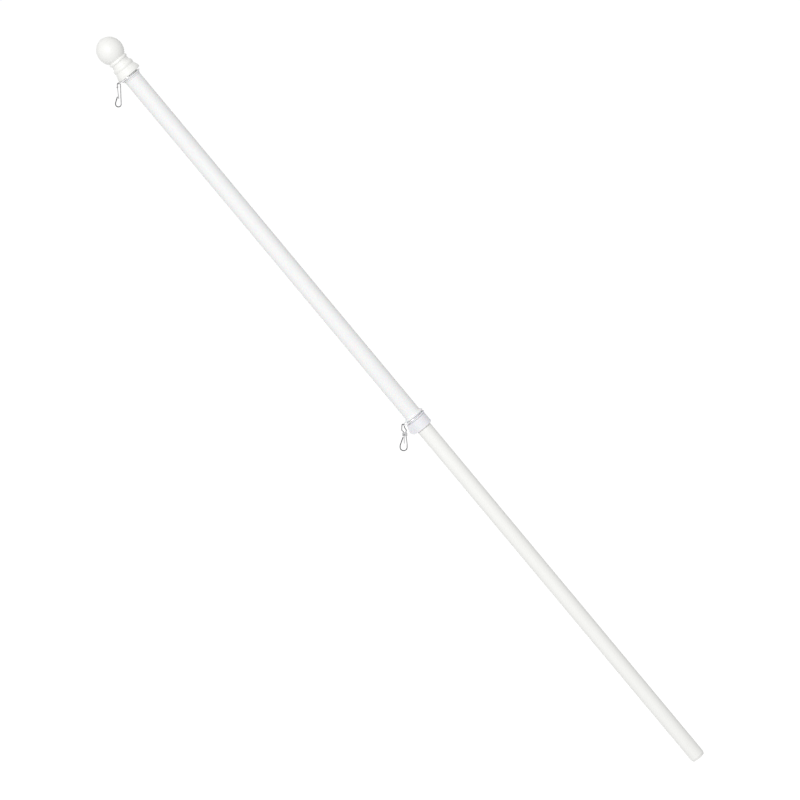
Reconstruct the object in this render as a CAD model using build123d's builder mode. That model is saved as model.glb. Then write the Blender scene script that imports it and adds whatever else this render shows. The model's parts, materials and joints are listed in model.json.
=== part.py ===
"""A 60 inch house flagpole with a free-spinning anti-wrap tube, a ball finial and two snap clips on wire rings.

The pole leans as a wall bracket holds it. Its butt face is centred on the origin, the axis lies in the XZ
plane and the top leans toward -X. Heights are measured along the pole's own axis, from the butt face. Each clip
hangs straight down from the lowest point of its ring.
"""
import os
from math import asin, cos, pi, radians, sin

from build123d import *

os.makedirs("parts", exist_ok=True)

# ---------------------------------------------------------------- the whole pole
pole_length = 1524.0  # from the butt face to the top of the ball
pole_lean = 39.36  # between the pole's axis and the vertical, in degrees
shaft_diameter = 25.4
butt_chamfer_height = 4.0
butt_chamfer_depth = 1.5

# ---------------------------------------------------------------- fits and running gaps
glue_gap = 0.05  # radial, between the shaft and the pieces fixed on it
tube_clearance = 0.5  # radial, tube over shaft
cap_clearance = 0.3  # radial, end cap over shaft
ring_clearance = 0.3  # between the shaft's top side and the ring that hangs on it
ring_side_play = 0.45  # axial, on each side of a ring in the gap that it turns in
pin_clearance = 0.05  # radial, rivet in its holes
side_clearance = 0.15  # between a gate's knuckle and what it turns against
gate_rest_gap = 0.35  # between a closed gate and the hook's tip

# ---------------------------------------------------------------- anti-wrap tube and its end caps
tube_length = 711.2
tube_wall = 1.0
flange_projection = 3.3  # how far the flange stands out from the tube
flange_thickness = 1.6
flare_height = 3.0  # from the flange down to the cap's thin mouth
mouth_wall = 0.7
flange_edge = 0.3
flare_foot = 0.8

# ---------------------------------------------------------------- stop collar
collar_body_height = 18.2
collar_wall = 3.7
groove_height = 1.0
groove_depth = 1.0
lip_height = 2.45
lug_projection = 6.4  # of the lug's round nose, beyond the collar's body
lug_nose_radius = 4.5
lug_foot = 1.8  # beyond the body too: where the lug's underside starts to rise, at 45 degrees
lug_tip = 6.9  # where its underside would meet its sloping face, just past the nose
lug_brow = 2.8  # what its sloping face leaves of it at the top of the body
collar_edge = 0.5
screw_diameter = 5.0
screw_length = 7.4
screw_slot_width = 0.8
screw_slot_depth = 1.0

# ---------------------------------------------------------------- finial, heights above its own bottom
finial_height = 72.0
finial_socket = 15.0
skirt_wall = 8.0
skirt_edge = 1.2
skirt_height = 4.6
cove_wall = 4.5
cove_height = 12.6
bead_wall = 5.4
bead_top = 20.6
neck_fillet = 0.5
neck_radius = 15.1
neck_height = 23.2
astragal_radius = 16.7
astragal_bottom = 26.2
astragal_top = 31.4
collet_height = 1.2
ball_radius = 21.9
ball_half_height = 23.6

# ---------------------------------------------------------------- wire rings and clips
ring_wire = 1.5
ring_slack = 5.2  # ring's inner radius less the shaft's radius
clip_wire = 1.5
gate_wire = 1.2
crown_play = 0.3  # between the ring's wire and the top of the eye that hangs on it
rivet_diameter = 1.2
rivet_head_diameter = 2.0
rivet_head_height = 0.4
knuckle_radius = 1.4
knuckle_relief = 0.3
bend_flat = 0.2  # straight left between two bends of a wire
shoulder_bend = 10.0

# upper clip, a one-piece bent wire; u is to the side and w is down, from the centre of the ring's wire
upper_eye_play = 0.95
upper_pivot_drop = 4.8
upper_hook_right = 3.6
upper_hook_width = 9.2
upper_hook_bottom = 36.5
upper_hook_shoulder = 30.0
upper_tip_u = -2.5
upper_tip_w = 20.3
upper_gate_end_w = 23.6

# lower clip, with a stamped sleeve between its eye and its hook
lower_eye_play = 0.5
lower_eye_left = 2.5
lower_eye_right = 5.2
lower_eye_waist = 8.0
lower_eye_straight = 3.4
eye_stem = 0.8
eye_left_foot = 1.0
eye_right_foot = 4.3
foot_bend = 1.0
waist_bend = 2.5
sleeve_u = 2.6
sleeve_top = 12.05
sleeve_width = 8.0
sleeve_height = 5.5
sleeve_thickness = 2.8
sleeve_corner = 1.0
socket_clearance = 0.03
eye_socket_depth = 1.6
hook_socket_depth = 3.2
lower_pivot_u = 1.4
lower_pivot_w = 15.5
lower_spine_u = 4.8
hook_stem = 1.05
lower_flank_w = 31.0
lower_hook_right = 6.4
lower_hook_width = 11.4
lower_hook_bottom = 41.7
lower_hook_shoulder = 33.0
lower_tip_u = -0.2
lower_tip_w = 19.6
lower_gate_end_w = 29.8

# ---------------------------------------------------------------- what follows from them
shaft_radius = shaft_diameter / 2
ring_gap = ring_wire + 2 * ring_side_play
tube_inner = shaft_radius + tube_clearance
tube_outer = tube_inner + tube_wall
cap_bore = shaft_radius + cap_clearance
cap_seat = tube_outer + glue_gap
mouth_radius = cap_seat + mouth_wall
flange_radius = tube_outer + flange_projection
cap_height = flange_thickness + flare_height

finial_bottom = pole_length - finial_height
upper_cap_top = finial_bottom - ring_gap
tube_top = upper_cap_top - flange_thickness
tube_bottom = tube_top - tube_length
lower_cap_bottom = tube_bottom - flange_thickness
collar_top = lower_cap_bottom - ring_gap
collar_height = collar_body_height + groove_height + lip_height
collar_bottom = collar_top - collar_height
upper_ring_height = finial_bottom - ring_gap / 2
lower_ring_height = collar_top + ring_gap / 2
shaft_top = finial_bottom + finial_socket - glue_gap

collar_radius = shaft_radius + collar_wall
lug_reach = collar_radius + lug_projection
ring_inner = shaft_radius + ring_slack
ring_radius = ring_inner + ring_wire / 2
ring_offset = shaft_radius + ring_clearance - ring_inner
ring_low = ring_offset - ring_radius  # the hanging point, on the ring's centre line

lean = radians(pole_lean)
pole = Plane(origin=(0, 0, 0), x_dir=(cos(lean), 0, sin(lean)), z_dir=(-sin(lean), 0, cos(lean)))
section = Plane(origin=(0, 0, 0), x_dir=pole.x_dir, z_dir=-pole.y_dir)  # x is the radius, y the height
axis = Axis((0, 0, 0), pole.z_dir)


def hanging_plane(height):
    """The upright plane of a clip, with its origin at the ring's lowest point, x to the side and y up."""
    return Plane(origin=section.from_local_coords((ring_low, height, 0)), x_dir=(1, 0, 0), z_dir=(0, -1, 0))


def across(plane, u, w, y):
    """A plane square to the Y axis at distance y behind the clip's own plane, centred u along and w down."""
    return Plane(origin=plane.from_local_coords((u, -w, -y)), x_dir=(1, 0, 0), z_dir=(0, 1, 0))


# ---------------------------------------------------------------- shaft
with BuildPart() as shaft:
    with BuildSketch(section):
        with BuildLine():
            Polyline(
                (0, 0),
                (shaft_radius - butt_chamfer_depth, 0),
                (shaft_radius, butt_chamfer_height),
                (shaft_radius, shaft_top),
                (0, shaft_top),
                close=True,
            )
        make_face()
    revolve(axis=axis)
shaft.part.label = "shaft"
export_step(shaft.part, "parts/shaft.step")

# ---------------------------------------------------------------- finial, turned in one piece
skirt_radius = shaft_radius + skirt_wall
cove_radius = shaft_radius + cove_wall
bead_radius = shaft_radius + bead_wall
ball_centre = pole_length - ball_half_height
throat = finial_bottom + astragal_top + collet_height
throat_angle = asin((throat - ball_centre) / ball_half_height)
ball_angles = [throat_angle + (pi / 2 - throat_angle) * step / 8 for step in range(9)]
ball_points = [(ball_radius * cos(a), ball_centre + ball_half_height * sin(a)) for a in ball_angles]
with BuildPart() as finial:
    with BuildSketch(section):
        with BuildLine():
            bore = shaft_radius + glue_gap
            base = finial_bottom
            foot = Polyline(
                (0, base + finial_socket),
                (bore, base + finial_socket),
                (bore, base),
                (skirt_radius - skirt_edge, base),
                (skirt_radius, base + skirt_edge),
                (skirt_radius, base + skirt_height),
                (cove_radius, base + cove_height),
            )
            bead_crest = (bead_radius, base + (cove_height + bead_top) / 2)
            bead = ThreePointArc(foot @ 1, bead_crest, (neck_radius + neck_fillet, base + bead_top))
            neck = Polyline(bead @ 1, (neck_radius, base + neck_height), (neck_radius, base + astragal_bottom))
            astragal_crest = (astragal_radius, base + (astragal_bottom + astragal_top) / 2)
            astragal = ThreePointArc(neck @ 1, astragal_crest, (neck_radius, base + astragal_top))
            Line(astragal @ 1, ball_points[0])
            leaving = (-ball_radius * sin(throat_angle), ball_half_height * cos(throat_angle))
            Spline(*ball_points[:-1], (0, pole_length), tangents=[leaving, (-1, 0)])
            Line((0, pole_length), (0, base + finial_socket))
        make_face()
    revolve(axis=axis)
finial.part.label = "finial"
export_step(finial.part, "parts/finial.step")

# ---------------------------------------------------------------- anti-wrap tube and its end caps
with BuildPart() as anti_wrap_tube:
    with BuildSketch(pole.offset(tube_bottom)):
        Circle(tube_outer)
        Circle(tube_inner, mode=Mode.SUBTRACT)
    extrude(amount=tube_length)
anti_wrap_tube.part.label = "anti_wrap_tube"
export_step(anti_wrap_tube.part, "parts/anti_wrap_tube.step")


def cap_profile(rim, way):
    """Half section of an end cap: its rim is at that height and its mouth lies along way, 1 up or -1 down."""
    seat = rim + way * flange_thickness
    mouth = rim + way * cap_height
    edge = way * flange_edge
    return [
        (cap_bore, rim),
        (flange_radius - flange_edge, rim),
        (flange_radius, rim + edge),
        (flange_radius, seat - edge),
        (flange_radius - flange_edge, seat),
        (mouth_radius + flare_foot, seat + way * flare_foot),
        (mouth_radius, mouth),
        (cap_seat, mouth),
        (cap_seat, seat),
        (cap_bore, seat),
    ]


for name, rim, way in [("lower_end_cap", lower_cap_bottom, 1), ("upper_end_cap", upper_cap_top, -1)]:
    with BuildPart() as end_cap:
        with BuildSketch(section):
            with BuildLine():
                Polyline(*cap_profile(rim, way), close=True)
            make_face()
        revolve(axis=axis)
    end_cap.part.label = name
    export_step(end_cap.part, f"parts/{name}.step")

# ---------------------------------------------------------------- stop collar, with its screw boss underneath
lip_bottom = collar_top - lip_height
body_top = lip_bottom - groove_height
collar_bore = shaft_radius + glue_gap
screw_height = collar_bottom + collar_body_height / 2 + lug_foot
screw_radius = screw_diameter / 2
screw_seat = -(shaft_radius + 2 * glue_gap)
screw_point = section.from_local_coords((screw_seat, screw_height, 0))
underside = Plane(origin=screw_point, x_dir=pole.y_dir, z_dir=-pole.x_dir)
with BuildPart() as stop_collar:
    with BuildSketch(pole.offset(collar_bottom)):
        Circle(collar_radius)
        with Locations((-(lug_reach - lug_nose_radius), 0)):
            Circle(lug_nose_radius)
        make_hull()
    extrude(amount=body_top - collar_bottom)
    with BuildSketch(section):
        with BuildLine():
            Polyline(
                (collar_radius, collar_bottom),
                (-collar_radius - lug_foot, collar_bottom),
                (-collar_radius - lug_tip, collar_bottom + lug_tip - lug_foot),
                (-collar_radius - lug_brow, body_top),
                (collar_radius, body_top),
                close=True,
            )
        make_face()
    extrude(amount=collar_radius, both=True, mode=Mode.INTERSECT)
    chamfer(stop_collar.faces().sort_by(axis)[0].edges(), collar_edge)
    with BuildSketch(section):
        with BuildLine():
            Polyline(
                (collar_bore, body_top),
                (collar_radius - groove_depth, body_top),
                (collar_radius - groove_depth, lip_bottom),
                (flange_radius - collar_edge, lip_bottom),
                (flange_radius, lip_bottom + collar_edge),
                (flange_radius, collar_top - collar_edge),
                (flange_radius - collar_edge, collar_top),
                (collar_bore, collar_top),
                close=True,
            )
        make_face()
    revolve(axis=axis)
    with BuildSketch(pole.offset(collar_bottom)):
        Circle(collar_bore)
    extrude(amount=collar_height, mode=Mode.SUBTRACT)
    with BuildSketch(underside):
        Circle(screw_radius + socket_clearance)
    extrude(amount=lug_reach, mode=Mode.SUBTRACT)
stop_collar.part.label = "stop_collar"
export_step(stop_collar.part, "parts/stop_collar.step")

with BuildPart() as collar_screw:
    with BuildSketch(underside):
        Circle(screw_radius)
    extrude(amount=screw_length)
    with BuildSketch(underside.offset(screw_length)):
        Rectangle(screw_diameter + 1, screw_slot_width)
    extrude(amount=-screw_slot_depth, mode=Mode.SUBTRACT)
collar_screw.part.label = "collar_screw"
export_step(collar_screw.part, "parts/collar_screw.step")

# ---------------------------------------------------------------- wire rings
for name, height in [("upper_ring", upper_ring_height), ("lower_ring", lower_ring_height)]:
    with BuildPart() as wire_ring:
        with BuildSketch(section):
            with Locations((ring_low, height)):
                Circle(ring_wire / 2)
        centre = section.from_local_coords((ring_offset, height, 0))
        revolve(axis=Axis(centre, pole.z_dir))
    wire_ring.part.label = name
    export_step(wire_ring.part, f"parts/{name}.step")


def corners(plane, points):
    """The corners of a bent wire's centre line, from points given u to the side and w down."""
    return [plane.from_local_coords((u, -w, 0)) for u, w in points]


# ---------------------------------------------------------------- upper clip: one bent wire with a sprung gate
wire_radius = clip_wire / 2
gate_radius = gate_wire / 2
rivet_radius = rivet_diameter / 2
rivet_hole = rivet_radius + pin_clearance
head_radius = rivet_head_diameter / 2
crown = ring_wire / 2 + crown_play + wire_radius

upper_plane = hanging_plane(upper_ring_height)
upper_eye = ring_wire / 2 + upper_eye_play + wire_radius
upper_hook_left = upper_hook_right - upper_hook_width
upper_bend = (upper_hook_width - bend_flat) / 2
upper_eye_bend = upper_eye - bend_flat / 2
with BuildPart() as upper_clip_wire:
    with BuildLine() as upper_path:
        points = corners(
            upper_plane,
            [
                (-upper_eye, upper_pivot_drop),
                (-upper_eye, -crown),
                (upper_eye, -crown),
                (upper_hook_right, upper_hook_bottom),
                (upper_hook_left, upper_hook_bottom),
                (upper_hook_left, upper_hook_shoulder),
                (upper_tip_u, upper_tip_w),
            ],
        )
        FilletPolyline(*points, radius=[upper_eye_bend, upper_eye_bend, upper_bend, upper_bend, shoulder_bend])
    with BuildSketch(Plane(origin=upper_path.line @ 0, z_dir=upper_path.line % 0)):
        Circle(wire_radius)
    sweep()
    with BuildSketch(across(upper_plane, -upper_eye, upper_pivot_drop, -side_clearance - gate_wire)):
        Circle(knuckle_radius)
    extrude(amount=gate_wire)
    with BuildSketch(across(upper_plane, -upper_eye, upper_pivot_drop, -side_clearance)):
        Circle(knuckle_radius + knuckle_relief)
    extrude(amount=clip_wire, mode=Mode.SUBTRACT)
    with BuildSketch(across(upper_plane, -upper_eye, upper_pivot_drop, 0)):
        Circle(rivet_hole)
    extrude(amount=2 * clip_wire, both=True, mode=Mode.SUBTRACT)
upper_clip_wire.part.label = "upper_clip_wire"
export_step(upper_clip_wire.part, "parts/upper_clip_wire.step")

upper_seat_u = upper_tip_u + wire_radius + gate_rest_gap + gate_radius
upper_slope = (upper_seat_u + upper_eye) / (upper_tip_w - upper_pivot_drop)
upper_gate_end_u = -upper_eye + upper_slope * (upper_gate_end_w - upper_pivot_drop)
upper_gate_y = side_clearance + gate_radius
with BuildPart() as upper_clip_gate:
    pivot = upper_plane.from_local_coords((-upper_eye, -upper_pivot_drop, -upper_gate_y))
    end = upper_plane.from_local_coords((upper_gate_end_u, -upper_gate_end_w, -upper_gate_y))
    with BuildLine() as gate_path:
        Line(pivot, end)
    with BuildSketch(Plane(origin=gate_path.line @ 0, z_dir=gate_path.line % 0)):
        Circle(gate_radius)
    sweep()
    with BuildSketch(across(upper_plane, -upper_eye, upper_pivot_drop, side_clearance)):
        Circle(knuckle_radius)
    extrude(amount=gate_wire)
    with BuildSketch(across(upper_plane, -upper_eye, upper_pivot_drop, 0)):
        Circle(rivet_hole)
    extrude(amount=2 * clip_wire, both=True, mode=Mode.SUBTRACT)
upper_clip_gate.part.label = "upper_clip_gate"
export_step(upper_clip_gate.part, "parts/upper_clip_gate.step")

upper_stack = side_clearance + gate_wire + pin_clearance
with BuildPart() as upper_clip_rivet:
    with BuildSketch(across(upper_plane, -upper_eye, upper_pivot_drop, 0)):
        Circle(rivet_radius)
    extrude(amount=upper_stack, both=True)
    for side in (-1, 1):
        with BuildSketch(across(upper_plane, -upper_eye, upper_pivot_drop, side * upper_stack)):
            Circle(head_radius)
        extrude(amount=side * rivet_head_height)
upper_clip_rivet.part.label = "upper_clip_rivet"
export_step(upper_clip_rivet.part, "parts/upper_clip_rivet.step")

# ---------------------------------------------------------------- lower clip: eye, stamped sleeve, hook and gate
lower_plane = hanging_plane(lower_ring_height)
lower_eye = ring_wire / 2 + lower_eye_play + wire_radius
lower_eye_bend = lower_eye - bend_flat / 2
sleeve_bottom = sleeve_top + sleeve_height
socket_radius = wire_radius + socket_clearance
eye_foot = sleeve_top + eye_socket_depth - socket_clearance
with BuildPart() as lower_clip_eye:
    with BuildLine() as eye_path:
        points = corners(
            lower_plane,
            [
                (eye_left_foot, eye_foot),
                (eye_left_foot, sleeve_top - eye_stem),
                (-lower_eye_left, lower_eye_waist),
                (-lower_eye, -crown),
                (lower_eye, -crown),
                (lower_eye, lower_eye_straight),
                (lower_eye_right, lower_eye_waist),
                (eye_right_foot, sleeve_top - eye_stem),
                (eye_right_foot, eye_foot),
            ],
        )
        bends = [foot_bend, waist_bend, lower_eye_bend, lower_eye_bend, waist_bend, waist_bend, foot_bend]
        FilletPolyline(*points, radius=bends)
    with BuildSketch(Plane(origin=eye_path.line @ 0, z_dir=eye_path.line % 0)):
        Circle(wire_radius)
    sweep()
lower_clip_eye.part.label = "lower_clip_eye"
export_step(lower_clip_eye.part, "parts/lower_clip_eye.step")

slot_width = 2 * (knuckle_radius + knuckle_relief)
slot_top = lower_pivot_w - knuckle_radius - side_clearance
slot_thickness = gate_wire + 2 * side_clearance
with BuildPart() as lower_clip_sleeve:
    with BuildSketch(across(lower_plane, sleeve_u, sleeve_top + sleeve_height / 2, -sleeve_thickness / 2)):
        RectangleRounded(sleeve_width, sleeve_height, sleeve_corner)
    extrude(amount=sleeve_thickness)
    slot_middle = (slot_top + sleeve_bottom) / 2
    with BuildSketch(across(lower_plane, lower_pivot_u, slot_middle, -slot_thickness / 2)):
        Rectangle(slot_width, sleeve_bottom - slot_top)
    extrude(amount=slot_thickness, mode=Mode.SUBTRACT)
    with BuildSketch(across(lower_plane, lower_pivot_u, lower_pivot_w, 0)):
        Circle(rivet_hole)
    extrude(amount=sleeve_thickness, both=True, mode=Mode.SUBTRACT)
    for foot in (eye_left_foot, eye_right_foot):
        mouth = lower_plane.from_local_coords((foot, -sleeve_top, 0))
        with BuildSketch(Plane(origin=mouth, z_dir=(0, 0, -1))):
            Circle(socket_radius)
        extrude(amount=eye_socket_depth, mode=Mode.SUBTRACT)
    mouth = lower_plane.from_local_coords((lower_spine_u, -sleeve_bottom, 0))
    with BuildSketch(Plane(origin=mouth, z_dir=(0, 0, 1))):
        Circle(socket_radius)
    extrude(amount=hook_socket_depth, mode=Mode.SUBTRACT)
lower_clip_sleeve.part.label = "lower_clip_sleeve"
export_step(lower_clip_sleeve.part, "parts/lower_clip_sleeve.step")

lower_hook_left = lower_hook_right - lower_hook_width
lower_bend = (lower_hook_width - bend_flat) / 2
with BuildPart() as lower_clip_hook:
    with BuildLine() as hook_path:
        points = corners(
            lower_plane,
            [
                (lower_spine_u, sleeve_bottom - hook_socket_depth + socket_clearance),
                (lower_spine_u, sleeve_bottom + hook_stem),
                (lower_hook_right, lower_flank_w),
                (lower_hook_right, lower_hook_bottom),
                (lower_hook_left, lower_hook_bottom),
                (lower_hook_left, lower_hook_shoulder),
                (lower_tip_u, lower_tip_w),
            ],
        )
        FilletPolyline(*points, radius=[waist_bend, shoulder_bend, lower_bend, lower_bend, shoulder_bend])
    with BuildSketch(Plane(origin=hook_path.line @ 0, z_dir=hook_path.line % 0)):
        Circle(wire_radius)
    sweep()
lower_clip_hook.part.label = "lower_clip_hook"
export_step(lower_clip_hook.part, "parts/lower_clip_hook.step")

lower_seat_u = lower_tip_u + wire_radius + gate_rest_gap + gate_radius
lower_slope = (lower_seat_u - lower_pivot_u) / (lower_tip_w - lower_pivot_w)
lower_gate_end_u = lower_pivot_u + lower_slope * (lower_gate_end_w - lower_pivot_w)
with BuildPart() as lower_clip_gate:
    pivot = lower_plane.from_local_coords((lower_pivot_u, -lower_pivot_w, 0))
    end = lower_plane.from_local_coords((lower_gate_end_u, -lower_gate_end_w, 0))
    with BuildLine() as gate_path:
        Line(pivot, end)
    with BuildSketch(Plane(origin=gate_path.line @ 0, z_dir=gate_path.line % 0)):
        Circle(gate_radius)
    sweep()
    with BuildSketch(across(lower_plane, lower_pivot_u, lower_pivot_w, -gate_radius)):
        Circle(knuckle_radius)
    extrude(amount=gate_wire)
    with BuildSketch(across(lower_plane, lower_pivot_u, lower_pivot_w, 0)):
        Circle(rivet_hole)
    extrude(amount=gate_wire, both=True, mode=Mode.SUBTRACT)
lower_clip_gate.part.label = "lower_clip_gate"
export_step(lower_clip_gate.part, "parts/lower_clip_gate.step")

lower_stack = sleeve_thickness / 2 + pin_clearance
with BuildPart() as lower_clip_rivet:
    with BuildSketch(across(lower_plane, lower_pivot_u, lower_pivot_w, 0)):
        Circle(rivet_radius)
    extrude(amount=lower_stack, both=True)
    for side in (-1, 1):
        with BuildSketch(across(lower_plane, lower_pivot_u, lower_pivot_w, side * lower_stack)):
            Circle(head_radius)
        extrude(amount=side * rivet_head_height)
lower_clip_rivet.part.label = "lower_clip_rivet"
export_step(lower_clip_rivet.part, "parts/lower_clip_rivet.step")
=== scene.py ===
"""Looks of a 60 inch house flagpole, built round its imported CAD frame.

Every size is in metres and every place is in the frame's own axes: the butt face is centred on the origin, the
pole's axis lies in the XZ plane and its top leans toward -X. Stations and radii along the pole are read from the CAD
nodes, and the clips hang from the places of their joints, so the looks follow the frame.
"""

import json
import logging
import math
from dataclasses import dataclass, replace
from enum import Enum
from typing import Any, Sequence

import bpy
import numpy as np
from numpy.typing import NDArray
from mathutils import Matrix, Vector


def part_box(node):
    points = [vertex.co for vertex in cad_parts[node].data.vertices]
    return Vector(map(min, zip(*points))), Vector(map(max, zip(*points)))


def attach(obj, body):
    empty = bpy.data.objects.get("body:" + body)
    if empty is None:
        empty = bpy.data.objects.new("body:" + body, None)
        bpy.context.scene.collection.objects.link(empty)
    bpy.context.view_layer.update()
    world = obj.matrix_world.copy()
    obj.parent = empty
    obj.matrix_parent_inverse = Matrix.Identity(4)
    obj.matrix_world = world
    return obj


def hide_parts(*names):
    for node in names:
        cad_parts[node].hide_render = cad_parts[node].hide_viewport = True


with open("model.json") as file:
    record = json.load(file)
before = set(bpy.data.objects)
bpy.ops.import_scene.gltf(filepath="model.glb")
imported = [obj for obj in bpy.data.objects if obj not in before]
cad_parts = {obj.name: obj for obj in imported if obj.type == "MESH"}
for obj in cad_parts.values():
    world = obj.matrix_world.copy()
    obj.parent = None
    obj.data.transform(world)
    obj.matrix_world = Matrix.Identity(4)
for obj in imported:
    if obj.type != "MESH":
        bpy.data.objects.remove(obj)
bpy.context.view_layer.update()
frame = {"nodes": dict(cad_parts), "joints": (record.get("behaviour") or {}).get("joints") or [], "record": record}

Array = NDArray[np.float64]
Pair = tuple[float, float]
Triple = tuple[float, float, float]
Socket = bpy.types.NodeSocket

MM = 0.001
WHITE = (1.0, 1.0, 1.0, 1.0)
BEND_SHADE = "bend"  # name of the attribute that holds how hard the metal was bent, which the metal darkens as painted shade
FINE_COLUMNS = 112  # points round the finial and the tube, which are seen most closely
END_DOME = 0.45  # height of the dome on a wire's end, as a share of its radius
DOME_ROWS = (75.0, 50.0, 25.0)  # how far up that dome its rows stand, in degrees
TIGHT_BEND = 14  # a bend whose radius is this many of the wire's, or fewer, counts in full
ROUNDING = 1e-9  # lengths that differ by no more than this are the same
BEND_SPREAD = 2  # a bend shows this many of the wire's radii past its end
log = logging.getLogger("flagpole")


# ---- shapes ----


@dataclass(frozen=True)
class Axes:
    """A right-handed set of axes that a shape is worked out in."""

    origin: Array  # where the three axes meet
    x: Array  # first direction, of length one
    y: Array  # second direction, of length one
    z: Array  # third direction, of length one

    def place(self, x: Array | float, y: Array | float, z: Array | float) -> Array:
        """Returns the frame's points origin + x X + y Y + z Z, the coordinates spread over each other's shapes."""
        x, y, z = np.broadcast_arrays(np.asarray(x, float), np.asarray(y, float), np.asarray(z, float))
        return self.origin + x[..., None] * self.x + y[..., None] * self.y + z[..., None] * self.z

    def moved(self, x: float, y: float, z: float) -> "Axes":
        """Returns the same directions about another origin, given in these axes."""
        return Axes(self.place(x, y, z), self.x, self.y, self.z)


@dataclass(frozen=True)
class Surface:
    """A grid of points whose columns run round a shape and whose rows run along it."""

    grid: Array  # points as rows by columns by three; the last column joins the first
    joined: bool = False  # whether the last row joins the first, as round a ring
    start: Array | None = None  # the point that closes the first row, if there is one
    end: Array | None = None  # the point that closes the last row, if there is one
    bend: Array | None = None  # how hard the metal was bent at each row, from 0 to 1, if it was: its painted shade

    def vertices(self) -> Array:
        """Returns the grid's points and then its closing points, three columns wide."""
        closing = [p[None] for p in (self.start, self.end) if p is not None]
        return np.concatenate([self.grid.reshape(-1, 3), *closing])

    def bends(self) -> Array:
        """Spreads the rows' bends over the points.

        Returns:
            The bend of every point, in the order of vertices().
        """
        rows, columns = self.grid.shape[:2]
        bend = np.zeros(rows) if self.bend is None else self.bend
        ends = [bend[k] for k, p in ((0, self.start), (-1, self.end)) if p is not None]
        return np.concatenate([np.repeat(bend, columns), ends])

    def faces(self) -> tuple[NDArray[np.int64], NDArray[np.int64]]:
        """Joins the points.

        Each face of the grid takes a point, the next column's, both one row on, and back. A closing point takes a
        triangle to each pair of neighbours in its row.

        Returns:
            The quads and the triangles, as rows of vertex numbers that turn the same way round.
        """
        rows, columns = self.grid.shape[:2]
        index = np.arange(rows * columns).reshape(rows, columns)
        right = np.roll(index, -1, axis=1)
        runs = rows if self.joined else rows - 1
        below, below_right = np.roll(index, -1, axis=0), np.roll(right, -1, axis=0)
        quads = np.stack([index[:runs], right[:runs], below_right[:runs], below[:runs]], axis=-1).reshape(-1, 4)
        fans, closing = [np.zeros((0, 3), int)], rows * columns
        if self.start is not None:
            fans.append(np.stack([np.full(columns, closing), right[0], index[0]], axis=-1))
            closing += 1
        if self.end is not None:
            fans.append(np.stack([np.full(columns, closing), index[-1], right[-1]], axis=-1))
        return quads, np.concatenate(fans)


def enclosed(vertices: Array, triangles: NDArray[np.int64]) -> float:
    """Returns the signed volume inside triangles: a sixth of the sum of a . (b x c) over them."""
    a, b, c = (vertices[triangles[:, k]] for k in range(3))
    return float(np.einsum("ij,ij->i", a, np.cross(b, c)).sum() / 6.0)


def unit(vector: Array) -> Array:
    """Returns a vector cut to length one."""
    return vector / np.linalg.norm(vector)


def rounded_line(
    points: Sequence[Pair], radii: Sequence[float], closed: bool = False, turn: float = 7.5, hold: float = 0.25 * MM
) -> Array:
    """Runs straight lines through points, with a tangent arc at each corner.

    About its centre an arc's points are (sin((1 - t) a) s + sin(t a) e) / sin(a), where s and e go to its two
    tangent points, a is the angle between them, and t goes from 0 to 1.

    Args:
        points: The corners, in order.
        radii: The arc's radius at each corner, 0 where the line only starts or ends.
        closed: Whether the last corner runs on to the first.
        turn: The most that the line turns between two of its points, in degrees.
        hold: How far from an arc a straight run gets a point of its own, which keeps its shading flat.

    Returns:
        The line's points, two columns wide.
    """
    corners = np.asarray(points, float)
    arcs: list[Array] = []
    for i, (corner, radius) in enumerate(zip(corners, radii)):
        if radius == 0:
            arcs.append(corner[None])
            continue
        back, ahead = unit(corners[i - 1] - corner), unit(corners[(i + 1) % len(corners)] - corner)
        half = math.acos(float(np.clip(back @ ahead, -1, 1))) / 2
        centre = corner + unit(back + ahead) * radius / math.sin(half)
        start, end = (corner + way * radius / math.tan(half) - centre for way in (back, ahead))
        sweep = math.pi - 2 * half
        t = np.linspace(0, 1, max(2, math.ceil(math.degrees(sweep) / turn)) + 1)[:, None]
        arcs.append(centre + (np.sin((1 - t) * sweep) * start + np.sin(t * sweep) * end) / math.sin(sweep))
    line: list[Array] = []
    for i, arc in enumerate(arcs):
        line.append(arc)
        if i + 1 == len(arcs) and not closed:
            break
        run = arcs[(i + 1) % len(arcs)][0] - arc[-1]
        length = float(np.linalg.norm(run))
        if length > 3 * hold:
            line.append(arc[-1] + run * np.array([[hold / length], [1 - hold / length]]))
    return np.concatenate(line)


def arc_through(start: Pair, middle: Pair, end: Pair, count: int = 24) -> Array:
    """Draws the arc from one point through a second to a third.

    The centre is where the chords' perpendicular bisectors meet, and the points lie at even angles about it.

    Args:
        start: The first point.
        middle: A point between the ends.
        end: The last point.
        count: How many points to give.

    Returns:
        The arc's points, two columns wide.
    """
    a, b, c = (np.asarray(p, float) for p in (start, middle, end))
    centre = np.linalg.solve(2 * np.array([b - a, c - a]), np.array([b @ b - a @ a, c @ c - a @ a]))
    angles = [math.atan2(*(p - centre)[::-1]) for p in (a, b, c)]
    first, past, last = angles[0], *((angle - angles[0]) % (2 * math.pi) for angle in angles[1:])
    span = last if past < last else last - 2 * math.pi
    angle = first + np.linspace(0, span, count)
    return centre + np.linalg.norm(a - centre) * np.stack([np.cos(angle), np.sin(angle)], axis=-1)


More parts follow.
